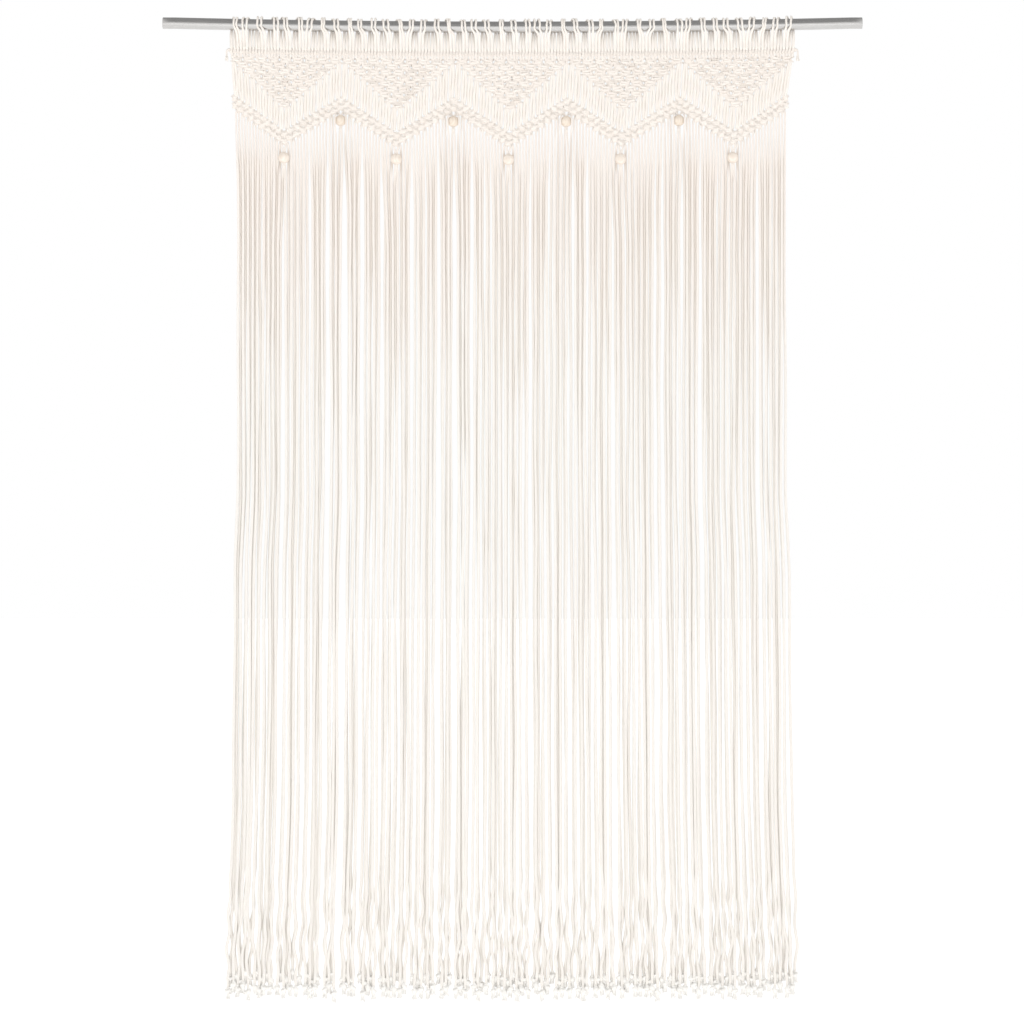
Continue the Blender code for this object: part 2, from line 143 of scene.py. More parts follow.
def waist_share(drop):
    """The fringe's width at a drop, as a share of its width at the bar."""
    return np.interp(drop, WAIST[:, 0], WAIST[:, 1])


HEADING_LOW, HEADING_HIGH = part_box("macrame_heading")
BAR_EDGES = [np.interp(BAR_TOP, HEADING_LINES[:, 0], HEADING_LINES[:, column]) for column in (1, 4)]
FIT = (HEADING_HIGH.x - HEADING_LOW.x) / (BAR_EDGES[1] - BAR_EDGES[0])
WIDTH = FIT * (HEADING_LINES[0, 4] - HEADING_LINES[0, 1])
PITCH = WIDTH / COLUMNS


def across(x, drop):
    """Where places on the bar hang in the heading, lower down."""
    x, drop = np.broadcast_arrays(np.asarray(x, float), np.asarray(drop, float))
    places = FIT * HEADING_LINES[0, 1:]
    lines = [FIT * np.interp(drop, HEADING_LINES[:, 0], HEADING_LINES[:, column]) for column in range(1, 5)]
    parts = []
    for index in range(3):
        slope = (lines[index + 1] - lines[index]) / (places[index + 1] - places[index])
        parts.append(lines[index] + (x - places[index]) * slope)
    return np.where(x < places[1], parts[0], np.where(x > places[2], parts[2], parts[1]))


def hang(places):
    """World points of places (x, y, drop) on the heading."""
    places = np.asarray(places, float)
    x, y, drop = places[..., 0], places[..., 1], places[..., 2]
    return np.stack((across(x, drop), y, rod_height(x) - drop), axis=-1)


def column_x(column):
    """Place across the bar of a half column's left edge."""
    return -WIDTH / 2 + column * PITCH


def fall(column):
    """Half columns from the nearest upper point of the zigzag: 0 to HALF_POINT."""
    phase = column % (2 * HALF_POINT)
    return min(phase, 2 * HALF_POINT - phase)


def band_drop(column, row):
    """Drop of one row of the zigzag band; row 0 is its top edge and BAND_ROWS its bottom edge."""
    return BAND_TOP + BAND_FALL * fall(column) + BAND_ROW * row


# ---------------- cords as meshes
def unit(vectors):
    return vectors / np.maximum(np.linalg.norm(vectors, axis=-1, keepdims=True), 1e-12)


def smooth(points, steps):
    """Rounded curves through each strand's points: (strands, points, 3) to (strands, more points, 3)."""
    points = np.asarray(points, float)
    before = 2 * points[:, :1] - points[:, 1:2]
    after = 2 * points[:, -1:] - points[:, -2:-1]
    padded = np.concatenate((before, points, after), axis=1)
    runs = points.shape[1] - 1
    t = (np.arange(steps) / steps)[None, None, :, None]
    p0, p1, p2, p3 = (padded[:, start:start + runs, None, :] for start in range(4))
    curve = 0.5 * (
        2 * p1
        + (p2 - p0) * t
        + (2 * p0 - 5 * p1 + 4 * p2 - p3) * t ** 2
        + (3 * p1 - p0 - 3 * p2 + p3) * t ** 3
    )
    return np.concatenate((curve.reshape(len(points), -1, 3), points[:, -1:]), axis=1)


class Strands:
    """Tubes gathered into one mesh. Its UV map has U turning once round a cord and V in metres along it."""

    def __init__(self, seed):
        self.chance = np.random.default_rng(seed)
        self.points, self.tones, self.corners = [], [], []
        self.sizes, self.uvs, self.kinds = [], [], []
        self.total = 0

    def add(self, paths, radius, sides, kind=0, flat=1.0):
        """Add strands (strands, rings, 3) of one radius, or of a radius for each ring.

        The kind is the number of their material. Their depth, front to back, is a share of their width.
        """
        paths = np.asarray(paths, float)
        strands, rings = paths.shape[:2]
        radius = np.broadcast_to(radius, (strands, rings))
        along = unit(np.gradient(paths, axis=1))
        normal = np.zeros_like(along)
        level = np.abs(along[:, :1, 1]) > 0.9
        previous = np.where(level, (0.0, 0.0, 1.0), (0.0, 1.0, 0.0))
        for ring in range(rings):
            tangent = along[:, ring]
            previous = unit(previous - tangent * (previous * tangent).sum(-1, keepdims=True))
            normal[:, ring] = previous
        sideways = np.cross(along, normal)
        angle = 2 * math.pi * np.arange(sides) / sides
        spoke = (flat * np.cos(angle)[:, None] * normal[:, :, None, :]
                 + np.sin(angle)[:, None] * sideways[:, :, None, :])
        points = paths[:, :, None, :] + spoke * radius[:, :, None, None]
        number = self.total + np.arange(strands * rings * sides).reshape(strands, rings, sides)
        self.total += number.size
        self.points.append(points.reshape(-1, 3))
        tone = self.chance.random(strands)
        self.tones.append(np.repeat(tone, rings * sides))
        after = np.roll(number, -1, axis=2)
        quads = np.stack((number[:, :-1], after[:, :-1], after[:, 1:], number[:, 1:]), axis=-1)
        self.corners.append(quads.reshape(-1))
        self.sizes.append(np.full(quads.size // 4, 4))
        length = np.repeat(tone[:, None], rings, axis=1)
        length[:, 1:] += np.cumsum(np.linalg.norm(np.diff(paths, axis=1), axis=-1), axis=1)
        u = np.arange(sides) / sides
        u0, u1, v0, v1 = np.broadcast_arrays(u, u + 1 / sides, length[:, :-1, None], length[:, 1:, None])
        uv = np.stack((u0, v0, u1, v0, u1, v1, u0, v1), axis=-1)
        self.uvs.append(uv.reshape(-1, 2))
        for ring, order in ((0, slice(None, None, -1)), (rings - 1, slice(None))):
            self.corners.append(number[:, ring, order].reshape(-1))
            self.sizes.append(np.full(strands, sides))
            cap = np.full((strands, sides, 2), 0.5)
            cap[..., 1] = length[:, ring, None]
            self.uvs.append(cap.reshape(-1, 2))
        self.kinds.append(np.full(quads.size // 4 + 2 * strands, kind))

    def finish(self, name, materials, slot, *nodes):
        """Make the mesh and place it as one piece."""
        mesh = bpy.data.meshes.new(name)
        points = np.concatenate(self.points)
        corners = np.concatenate(self.corners)
        sizes = np.concatenate(self.sizes)
        mesh.vertices.add(len(points))
        mesh.vertices.foreach_set("co", points.ravel())
        mesh.loops.add(len(corners))
        mesh.loops.foreach_set("vertex_index", corners)
        mesh.polygons.add(len(sizes))
        starts = np.concatenate(((0,), np.cumsum(sizes)[:-1]))
        mesh.polygons.foreach_set("loop_start", starts)
        mesh.update(calc_edges=True)
        mesh.polygons.foreach_set("use_smooth", sizes == 4)
        layer = mesh.uv_layers.new(name="strand")
        layer.uv.foreach_set("vector", np.concatenate(self.uvs).astype(np.float32).ravel())
        tone = mesh.attributes.new("tone", 'FLOAT', 'POINT')
        tone.data.foreach_set("value", np.concatenate(self.tones).astype(np.float32))
        for material in materials:
            mesh.materials.append(material)
        mesh.polygons.foreach_set("material_index", np.concatenate(self.kinds))
        place(new_object(name, mesh), slot, *nodes)


def new_object(name, data):
    """Make an object in the scene."""
    obj = bpy.data.objects.new(name, data)
    bpy.context.scene.collection.objects.link(obj)
    return obj


def mesh_object(name, points, faces, material):
    """Make an object of one mesh and one material."""
    mesh = bpy.data.meshes.new(name)
    mesh.from_pydata(points, [], faces)
    mesh.materials.append(material)
    return new_object(name, mesh)


def place(obj, slot, *nodes):
    """Ride a piece on the curtain and let it stand for its CAD nodes."""
    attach(obj, "root")
    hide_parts(*nodes)


# ---------------- materials
class Nodes:
    """Short ways to add and join shader nodes."""

    def __init__(self, tree, output):
        self.tree = tree
        self.output = tree.nodes[output]

    def feed(self, node, inputs):
        """Give a node's inputs their values, or join them to the sockets that bring these."""
        for key, value in inputs.items():
            if isinstance(value, bpy.types.NodeSocket):
                self.tree.links.new(value, node.inputs[key])
            else:
                node.inputs[key].default_value = value

    def finish(self, **inputs):
        """Feed the output shader. An underscore stands for a space."""
        self.feed(self.output, {key.replace("_", " "): value for key, value in inputs.items()})

    def add(self, kind, inputs=None, **settings):
        node = self.tree.nodes.new(kind)
        for key, value in settings.items():
            setattr(node, key, value)
        self.feed(node, inputs or {})
        return node

    def math(self, operation, *values, clamp=False):
        """One arithmetic step on sockets and numbers."""
        node = self.add("ShaderNodeMath", dict(enumerate(values)), operation=operation, use_clamp=clamp)
        return node.outputs[0]

    def noise(self, vector, scale, detail):
        node = self.add("ShaderNodeTexNoise", {"Vector": vector, "Scale": scale, "Detail": detail})
        return node.outputs["Fac"]

    def ramp(self, value, *stops):
        """Colours along a value: stops are (position, colour)."""
        node = self.add("ShaderNodeValToRGB", {"Fac": value})
        elements = node.color_ramp.elements
        while len(elements) < len(stops):
            elements.new(0.5)
        for element, (position, colour) in zip(elements, stops):
            element.position = position
            element.color = (*colour, 1.0)
        return node.outputs["Color"]

    def mix(self, share, first, second):
        """A colour between two others, which go in a Mix node's seventh and eighth sockets."""
        node = self.add("ShaderNodeMix", {0: share, 6: first, 7: second}, data_type='RGBA')
        return node.outputs[2]

    def bump(self, height, distance):
        node = self.add("ShaderNodeBump", {"Height": height, "Distance": distance, "Strength": 1.0})
        return node.outputs["Normal"]


def new_material(name):
    material = bpy.data.materials.new(name)
    material.use_nodes = True
    return material, Nodes(material.node_tree, "Principled BSDF")


# How a cord is twisted: its plies, the length in which a ply goes once round it, and the plies' relief.
PLIED = (3, 0.0165, 0.0005)
KNOTTED = (3, 0.0165, 0.0004)
UNTWISTED = (1, 0.004, 0.0001)

# Three colours of each cotton: light, warm, and a painted shade for the grooves between the plies.
COTTON = ((0.915, 0.872, 0.820), (0.895, 0.840, 0.780), (0.830, 0.775, 0.715))
# A darker copy of the same cotton for the knotted parts: painted shade of the dense knots, which also tones
# down their highlights.
SHADED_KNOT_COTTON = ((0.895, 0.843, 0.790), (0.876, 0.812, 0.752), (0.805, 0.742, 0.685))
# A paler, less warm copy that the fringe turns to lower down: painted light towards the ends.
PALE_COTTON = ((0.902, 0.872, 0.828), (0.886, 0.850, 0.802), (0.824, 0.785, 0.737))
FRAYED_COTTON = ((0.902, 0.887, 0.858), (0.884, 0.865, 0.832), (0.835, 0.812, 0.780))
FADE_FROM = 0.10  # down the fringe the cotton turns from the knots' painted shade to a paler tone, painted light towards the ends,
FADE_OVER = 0.55  # in this length
FRAYED = 1  # kind of the strands in frayed cotton

FIBRES_ROUND = 5.0  # fibres: how often they repeat round a ply and in a metre
FIBRES_ALONG = 110.0
FIBRES_SHIFT = 37.0  # from cord to cord
GROOVE_SHADE = 0.55  # how much the painted shade in the grooves, and the fibres' darker tone, darken it
FIBRE_SHADE = 0.22
PLY_ROUNDNESS = 0.6
FIBRE_HEIGHT = 0.45  # of a ply's


def cotton_material(name, twist, colours, end_colours=None):
    """Plied cotton: the plies wind round the cord, with fine fibres along them and painted shade in the
    grooves between the plies.

    Where end_colours are given, the cotton turns to them down the cord: on the fringe this paints it
    lighter towards the ends.
    """
    plies, lead, relief = twist
    light, warm, painted_groove_shade = ((*colour, 1.0) for colour in colours)
    material, n = new_material(name)
    uv = n.add("ShaderNodeUVMap", uv_map="strand").outputs["UV"]
    split = n.add("ShaderNodeSeparateXYZ", {0: uv}).outputs
    tone = n.add("ShaderNodeAttribute", attribute_name="tone").outputs["Fac"]
    turns = n.math('MULTIPLY', split["Y"], plies / lead)
    phase = n.math('ADD', n.math('MULTIPLY', split["X"], plies), turns)
    crown = n.math('ABSOLUTE', n.math('SINE', n.math('MULTIPLY', phase, math.pi)))
    fibre_place = n.add("ShaderNodeCombineXYZ", {
        "X": n.math('MULTIPLY', phase, FIBRES_ROUND),
        "Y": n.math('MULTIPLY', split["Y"], FIBRES_ALONG),
        "Z": n.math('MULTIPLY', tone, FIBRES_SHIFT),
    })
    fibres = n.noise(fibre_place.outputs[0], 1.0, 3.0)
    body = n.mix(tone, light, warm)
    # Painted light: down the cord the colours give way to the paler end colours.
    if end_colours:
        end_light, end_warm, end_painted_groove_shade = ((*colour, 1.0) for colour in end_colours)
        length = n.math('SUBTRACT', split["Y"], tone)
        fade = n.math('DIVIDE', n.math('SUBTRACT', length, FADE_FROM), FADE_OVER, clamp=True)
        body = n.mix(fade, body, n.mix(tone, end_light, end_warm))
        painted_groove_shade = n.mix(fade, painted_groove_shade, end_painted_groove_shade)
    # Painted shade: the deeper into the grooves between the plies, the more of the darker colour is mixed
    # in. The fibres add a darker tone of their own.
    depth = n.math('POWER', n.math('SUBTRACT', 1.0, crown), 2.0)
    shade = n.math('ADD', n.math('MULTIPLY', depth, GROOVE_SHADE), n.math('MULTIPLY', fibres, FIBRE_SHADE),
                   clamp=True)
    height = n.math('ADD', n.math('POWER', crown, PLY_ROUNDNESS), n.math('MULTIPLY', fibres, FIBRE_HEIGHT))
    n.finish(Base_Color=n.mix(shade, body, painted_groove_shade), Normal=n.bump(height, relief), Roughness=0.92,
             Specular_IOR_Level=0.2, Sheen_Weight=0.25, Sheen_Roughness=0.5)
    return material


GRAIN_SCALE = (1.0, 1.0, 0.22)  # the grain is drawn out along the bead's bore
GRAIN_TILT = (0.25, 0.35, 0.0)
RING_SHARE = 0.55  # of the wood's tone: the rest is cloudy
PORE_SHADE = 0.28
WOOD_RELIEF = 0.00012


def wood_material(name, pale, dark, ring_scale):
    """Turned wood: growth rings, pores along the grain and a few darker streaks."""
    material, n = new_material(name)
    texture = n.add("ShaderNodeTexCoord").outputs["Object"]
    stretch = n.add("ShaderNodeMapping", {"Vector": texture, "Scale": GRAIN_SCALE, "Rotation": GRAIN_TILT})
    grain = stretch.outputs[0]
    rings = n.add("ShaderNodeTexWave", {
        "Vector": grain,
        "Scale": ring_scale,
        "Distortion": 2.6,
        "Detail": 3.0,
        "Detail Scale": 1.6,
    }, wave_type='BANDS', bands_direction='X').outputs["Fac"]
    clouds = n.noise(grain, 60.0, 3.0)
    pores = n.noise(grain, 900.0, 4.0)
    cloudy = n.math('MULTIPLY', clouds, 1.0 - RING_SHARE)
    share = n.math('ADD', n.math('MULTIPLY', rings, RING_SHARE), cloudy)
    middle = tuple((a + b) / 2 for a, b in zip(pale, dark))
    colour = n.ramp(share, (0.25, pale), (0.60, middle), (0.85, dark))
    colour = n.mix(n.math('MULTIPLY', pores, PORE_SHADE), colour, (*dark, 1.0))
    relief = n.bump(n.math('ADD', pores, n.math('MULTIPLY', rings, 0.5)), WOOD_RELIEF)
    n.finish(Base_Color=colour, Normal=relief, Roughness=0.48)
    return material


BRUSHING_SCALE = (6.0, 900.0, 900.0)  # fine across the rod, drawn out along it
STEEL_DARK = (0.52, 0.51, 0.50)
STEEL_LIGHT = (0.63, 0.62, 0.61)
STEEL_ROUGHNESS = 0.16  # where smoothest, without brushing and marks
STEEL_RELIEF = 0.00004


def metal_material():
    """Satin steel, with fine brushing along the rod and a few handling marks."""
    material, n = new_material("satin_steel")
    texture = n.add("ShaderNodeTexCoord").outputs["Object"]
    stretch = n.add("ShaderNodeMapping", {"Vector": texture, "Scale": BRUSHING_SCALE})
    brushing = n.noise(stretch.outputs[0], 1.0, 4.0)
    marks = n.noise(texture, 9.0, 2.0)
    rough = n.math('ADD', n.math('MULTIPLY', brushing, 0.12), n.math('MULTIPLY', marks, 0.10))
    n.finish(Base_Color=n.ramp(brushing, (0.25, STEEL_DARK), (0.75, STEEL_LIGHT)), Metallic=1.0,
             Normal=n.bump(brushing, STEEL_RELIEF), Roughness=n.math('ADD', rough, STEEL_ROUGHNESS))
    return material


# Each pair is a piece's cord material and that of its frayed strands.
COTTONS = (
    cotton_material("plied_cotton", PLIED, COTTON),
    cotton_material("frayed_cotton", UNTWISTED, COTTON),
)
KNOT_COTTONS = (cotton_material("knotted_cotton_painted_shade", KNOTTED, SHADED_KNOT_COTTON), COTTONS[FRAYED])
FRINGE_COTTONS = (
    cotton_material("fringe_cotton_painted_lighter_down", PLIED, SHADED_KNOT_COTTON, PALE_COTTON),
    cotton_material("frayed_ends", UNTWISTED, FRAYED_COTTON),
)
WOOD_UPPER = wood_material("amber_wood", (0.84, 0.755, 0.655), (0.73, 0.615, 0.505), 70.0)
WOOD_LOWER = wood_material("pale_wood", (0.865, 0.79, 0.715), (0.785, 0.69, 0.595), 60.0)
METAL = metal_material()


# ---------------- rod
def build_rod():
    """The rod, with its bow and softened end edges."""
    sides = 48
    edge = 0.0012
    soft = edge * 0.3
    inner = np.linspace(-ROD_HALF + edge, ROD_HALF - edge, 61)
    x = np.concatenate(((-ROD_HALF, -ROD_HALF + soft), inner, (ROD_HALF - soft, ROD_HALF)))
    radius = np.full(len(x), ROD_RADIUS)
    radius[[0, -1]] -= edge
    radius[[1, -2]] -= soft
    rod = Strands(1)
    rod.add(np.stack((x, 0 * x, rod_height(x)), axis=-1)[None], radius[None], sides)
    rod.finish("rod_steel", (METAL,), "rod_metal", "rod")


# ---------------- square knots
# One square knot, in cord diameters: x to the right, y to the back, z up. The lead cord crosses the front
# twice; the back cord crosses the back twice and loops over the lead at both sides. Two cores run through.
LEAD_CORD = (
    (-1.75, -0.25, 1.05),
    (-1.30, -0.70, 0.60),
    (-0.60, -0.95, 0.45),
    (0.60, -0.95, 0.42),
    (1.40, -0.65, 0.36),
    (2.00, -0.30, 0.00),
    (1.40, -0.65, -0.38),
    (0.60, -0.95, -0.44),
    (-0.60, -0.95, -0.46),
    (-1.30, -0.70, -0.62),
    (-1.75, -0.25, -1.05),
)
BACK_CORD = (
    (1.72, -0.45, 1.10),
    (1.75, -0.85, 0.72),
    (2.75, 1.40, 0.76),
    (1.20, 1.30, 0.38),
    (-1.20, 1.30, 0.40),
    (-2.75, 1.40, 0.76),
    (-1.74, -0.85, 0.34),
    (-1.74, -1.05, 0.00),
    (-1.74, -0.85, -0.34),
    (-2.75, 1.40, -0.78),
    (-1.20, 1.30, -0.42),
    (1.20, 1.30, -0.38),
    (2.75, 1.40, -0.76),
    (1.75, -0.85, -0.74),
    (1.72, -0.45, -1.12),
)
CORE_CORD = (
    (0.75, 0.0, 1.50),
    (0.50, 0.0, 0.75),
    (0.50, 0.0, -0.75),
    (0.75, 0.0, -1.50),
)
PAIR = 0.0013  # cords of a pair stand this far to each side of its middle
FLAT = 0.44  # a knot is pressed flat
SPREAD_CORD = 0.0038  # half width of a cord flattened in a knot

# How unevenly the knots are tied: tilt in radians, place and size.
TILT_SPREAD = 0.05
PLACE_SPREAD = 0.0004
SIZE_SPREAD = 0.03

# How far knots are drawn out, across and up: in the triangles, in the band and at the band's two ends.
NET_SHAPE = (1.09, 1.44)
BAND_SHAPE = (0.74, 0.96)
END_SHAPE = (0.50, 0.96)
END_INSET = 0.22  # of the last, in half columns
BAND_LEAN = 0.176  # radians, on the band's straight runs


def knot_work(work, knots, chance):
    """Square knots. Each is (x, drop, width, height, tilt, corners).

    The corners are (x, drop) at its upper left, upper right, lower left and lower right.
    """
    count = len(knots)
    x, drop, wide, high, tilt = (np.array([knot[index] for knot in knots])[:, None] for index in range(5))
    corners = np.array([knot[5] for knot in knots])
    flip = np.where(chance.random((count, 1)) < 0.5, 1.0, -1.0)
    tilt = tilt + chance.normal(0.0, TILT_SPREAD, (count, 1))
    x = x + chance.normal(0.0, PLACE_SPREAD, (count, 1))
    drop = drop + chance.normal(0.0, PLACE_SPREAD, (count, 1))
    swell = 1 + chance.normal(0.0, SIZE_SPREAD, (count, 1))

    def strand(cord, side, corner, shift):
        """A cord through every knot, from an upper corner to the lower corner under it."""
        cord = np.array(cord) * TIGHT
        across_x = cord[:, 0] * side * wide * swell
        up_z = cord[:, 2] * high * swell
        turned_x = across_x * np.cos(tilt) - up_z * np.sin(tilt)
        turned_z = across_x * np.sin(tilt) + up_z * np.cos(tilt)
        y = np.broadcast_to(cord[:, 1] * FLAT, turned_x.shape)
        middle = np.stack((x + turned_x, y, drop - turned_z), axis=-1)
        top, bottom = (corner_points(index, shift)[:, None] for index in (corner, corner + 2))
        return np.concatenate((top, middle, bottom), axis=1)

    def corner_points(corner, shift):
        """A corner of each knot, shifted outward from the middle of its pair of cords."""
        chosen = corners[np.arange(count), corner]
        outward = np.where(corner % 2 == 0, -1.0, 1.0)
        return np.stack((chosen[:, 0] + outward * shift, np.zeros(count), chosen[:, 1]), axis=-1)

    lead_corner = np.where(flip[:, 0] > 0, 0, 1)
    strands = (
        smooth(strand(LEAD_CORD, flip, lead_corner, PAIR), 2),
        smooth(strand(BACK_CORD, flip, 1 - lead_corner, PAIR), 2),
        strand(CORE_CORD, -1.0, np.zeros(count, int), -PAIR),
        strand(CORE_CORD, 1.0, np.ones(count, int), -PAIR),
    )
    for paths in strands:
        work.add(hang(paths), SPREAD_CORD, 6, flat=FLAT)


def net_knots():
    """The five triangles of alternating square knots."""
    knots = []
    for column in range(1, COLUMNS):
        depth = fall(column)
        for row in range(1 + (depth + 1) % 2, depth + 1, 2):
            x = column_x(column)
            drop = FIRST_ROW + ROW_STEP * (row - 1)
            near = PITCH / 2
            high = drop - ROW_STEP / 2
            low = drop + ROW_STEP / 2
            corners = ((x - near, high), (x + near, high), (x - near, low), (x + near, low))
            knots.append((x, drop, *NET_SHAPE, 0.0, corners))
    return knots


def band_knots():
    """The zigzag band: two lines of square knots, leaning with it."""
    knots = []
    for column in range(COLUMNS + 1):
        for row in (1, 3):
            x = column_x(column)
            drop = band_drop(column, row)
            sides = []
            for sign in (-1, 1):
                slope = 1 if fall(column + sign) > fall(column) else -1
                shift = slope * (BAND_FALL - BAND_ROW) / 4
                side_x = x + sign * PITCH / 2
                sides.append(((side_x, drop - BAND_ROW / 2 + shift), (side_x, drop + BAND_ROW / 2 + shift)))
            (left_top, left_foot), (right_top, right_foot) = sides
            corners = (left_top, right_top, left_foot, right_foot)
            if 0 < column < COLUMNS:
                lean = BAND_LEAN * (fall(column + 1) - fall(column - 1)) / 2
                knots.append((x, drop, *BAND_SHAPE, lean, corners))
            else:
                x += (1 if column == 0 else -1) * PITCH * END_INSET
                corners = tuple(((x + corner_x) / 2, corner_drop) for corner_x, corner_drop in corners)
                knots.append((x, drop, *END_SHAPE, 0.0, corners))
    return knots


def build_knots():
    """The knotted triangles and the zigzag band."""
    chance = np.random.default_rng(7)
    for name, seed, knots in (("knot_net", 2, net_knots()), ("zigzag_band", 3, band_knots())):
        work = Strands(seed)
        knot_work(work, knots, chance)
        work.finish(name, KNOT_COTTONS, "cotton_cord", "macrame_heading")


# ---------------- frayed ends and end knots
FIBRE_SHARES = (0.0, 0.35, 0.7, 1.0)  # a fibre's points, as shares of its length
FIBRE_RADII = (0.0019, 0.0019, 0.0017, 0.0010)
FIBRE_SPREAD = (0.05, 0.34)  # how far a fibre leans out, as a share of its length
FIBRE_LENGTHS = (0.65, 1.1)  # fibres' lengths, as shares of the tail's
FIBRE_CURL = 0.0006
FIBRE_DEPTH = 0.7  # a tail is this flat from front to back
TUFT = 0.30  # fibres start this share of a cord from its middle


def fray(work, tips, chance, count, length):
    """Loose fibres that spread from each tip."""
    strands = len(tips) * count
    angle = chance.uniform(0, 2 * math.pi, strands)
    spread = chance.uniform(*FIBRE_SPREAD, strands)
    reach = length * chance.uniform(*FIBRE_LENGTHS, strands)
    start = np.repeat(tips, count, axis=0)
    radial = np.stack((np.cos(angle), np.sin(angle) * FIBRE_DEPTH, np.zeros(strands)), axis=-1)
    down = np.array((0.0, 0.0, -1.0))
    paths = []
    for share in FIBRE_SHARES:
        out = radial * (CORD * TUFT + reach * spread * share ** 1.5)[:, None]
        curl = radial * (chance.normal(0, FIBRE_CURL, strands) * share)[:, None]
        paths.append(start + out + curl + down * (reach * share)[:, None])
    work.add(np.stack(paths, axis=1), np.array(FIBRE_RADII)[None], 4, FRAYED)


# A tight overhand knot, from its top end down, as x, y and z.
OVERHAND = np.array((
    (0.00, 0.00, 2.60),
    (0.15, -0.35, 1.85),
    (0.75, -0.75, 1.05),
    (1.15, 0.10, 0.15),
    (0.45, 1.00, -0.45),
    (-0.75, 0.70, -0.35),
    (-1.15, -0.35, 0.25),
    (-0.35, -1.15, 0.55),
    (0.80, -0.85, -0.05),
    (1.00, 0.35, -0.85),
    (0.10, 0.80, -0.95),
    (-0.75, 0.05, -0.60),
    (-0.50, -0.60, -1.30),
    (0.00, -0.10, -2.20),
    (0.00, 0.00, -2.90),
))


# ---------------- loops, bar and open cords
LOOP_SEED = 45
LOOP_SLANT = 0.0055  # most that a loop leans, front and back
LOOP_WANDER = 0.0045  # most that a loop strays from its column
LOOP_LEADS = (-1, -1, -1, 1)  # three loops in four lean the same way
LOOP_CORD = 0.0054  # diameter of a loop's cord over the rod
ON_ROD = 0.0003  # between a loop's cords and the rod
LOOP_LIFT = 0.0035  # most that a loop stands off the rod's top
LOOP_APART = (0.0030, 0.0054)  # of a loop's two cords from its middle, on the rod
LOOP_SLIP = 0.0016  # most that one cord is out of line with the other
LOOP_STRAY = 0.0004
LOOP_FLAT = 0.8
LOOP_STEPS = 4  # rings from one of a loop's points to the next
FOOT_DROP = BAR_TOP + 0.008  # the loops end inside the bar

# A loop's legs: share of the way over from its place in the bar to its place on the rod, depth and drop.
FRONT_LEG = (
    (0.00, -0.0012, FOOT_DROP),
    (0.00, -0.0046, FOOT_DROP - 0.006),
    (0.03, -0.00408, FOOT_DROP - 0.022),
    (0.15, -0.01122, 0.021),
)
BACK_LEG = (
    (0.08, 0.00306, 0.023),
    (0.02, -0.00204, FOOT_DROP - 0.022),
    (0.00, -0.0036, FOOT_DROP - 0.006),
    (0.00, -0.0008, FOOT_DROP),
)
OVER_ROD = (-20, 10, 40, 70, 110, 140, 170, 200)  # degrees over the rod, from its front
BACK_TURN = (110, 200)  # between these a cord eases over to its place in the bar,
BACK_SHARE = 0.75  # by this share of the way

# Radius of a loop's cord at its points, numbered from its front foot.
LOOP_POINTS = (0, 1, 2, 3, 4, 11, 12, 13, 14, 15)
LOOP_RADII = (0.0032, 0.0037, 0.0038, 0.0034, 0.0024, 0.0032, 0.0038, 0.0038, 0.0037, 0.0032)


def loop_draws():
    """Each loop's column, slant, wander and leading side."""
    draw = random.Random(LOOP_SEED)
    rows = []
    for column in range(1, COLUMNS, 2):
        slant = draw.uniform(0.0, LOOP_SLANT)
        wander = draw.uniform(-LOOP_WANDER, LOOP_WANDER)
        rows.append((column, slant, wander, draw.choice(LOOP_LEADS)))
    return rows


def leg_points(leg, foot, over):
    """Places on a leg of a loop, between its foot's x in the bar and its x over the rod."""
    return [(foot + (over - foot) * share, depth, drop) for share, depth, drop in leg]


def build_loops():
    """Two cords side by side in each loop: up from the bar, over the rod and down behind it."""
    chance = np.random.default_rng(11)
    radius = ROD_RADIUS + LOOP_CORD / 2 + ON_ROD
    paths = []
    for column, slant, wander, lead in loop_draws():
        centre = column_x(column)
        lift = chance.uniform(0.0, LOOP_LIFT)
        apart = chance.uniform(*LOOP_APART)
        for side in (-1, 1):
            front = centre - lead * PITCH / 2 + side * PITCH / 4
            back = centre + lead * PITCH / 2 + side * PITCH / 4
            lean = lead * slant - chance.uniform(-LOOP_SLIP, LOOP_SLIP)
            middle = centre + wander + side * apart
            path = leg_points(FRONT_LEG, front, middle - lean)
            for degrees in OVER_ROD:
                angle = math.radians(degrees)
                over = middle - lean * math.cos(angle)
                over += (back - over) * np.interp(degrees, BACK_TURN, (0.0, BACK_SHARE))
                rise = lift * math.sin(angle) ** 2
                path.append((over, -radius * math.cos(angle), -(radius + rise) * math.sin(angle)))
            path += leg_points(BACK_LEG, back, middle + lean)
            paths.append(path)
    paths = np.array(paths)
    paths[:, 1:-1, 0] += chance.normal(0.0, LOOP_STRAY, paths[:, 1:-1, 0].shape)
    rings = np.arange((paths.shape[1] - 1) * LOOP_STEPS + 1) / LOOP_STEPS
    widths = np.interp(rings, LOOP_POINTS, LOOP_RADII)
    loops = Strands(4)
    loops.add(hang(smooth(paths, LOOP_STEPS)), widths[None], 7, flat=LOOP_FLAT)
    loops.finish("rod_loops", COTTONS, "cotton_cord", "macrame_heading")


BAR_MIDDLE = (BAR_TOP + BAR_BOTTOM) / 2
WRAP_APART = 0.0016  # of a cord's two wraps from its middle
WRAP_SLANTS = (0.0020, 0.0016)  # how far the first and the second slant
WRAP_RADIUS = TIGHT * 0.38
WRAP_DEPTH = TIGHT * 0.95  # from the bar's middle to a wrap's, at its front
WRAP_HALF = (BAR_BOTTOM - BAR_TOP) / 2 - TIGHT / 2 + 0.0006  # and at its top and foot
WRAP_TURN = (0.15, 2.1)  # where a wrap starts and ends, in half turns
WRAP_STRAY = 0.0002
HOLDING_LEVELS = (-0.0025, 0.0025)  # it runs out and back inside the bar
HOLDING_OUT = 0.004

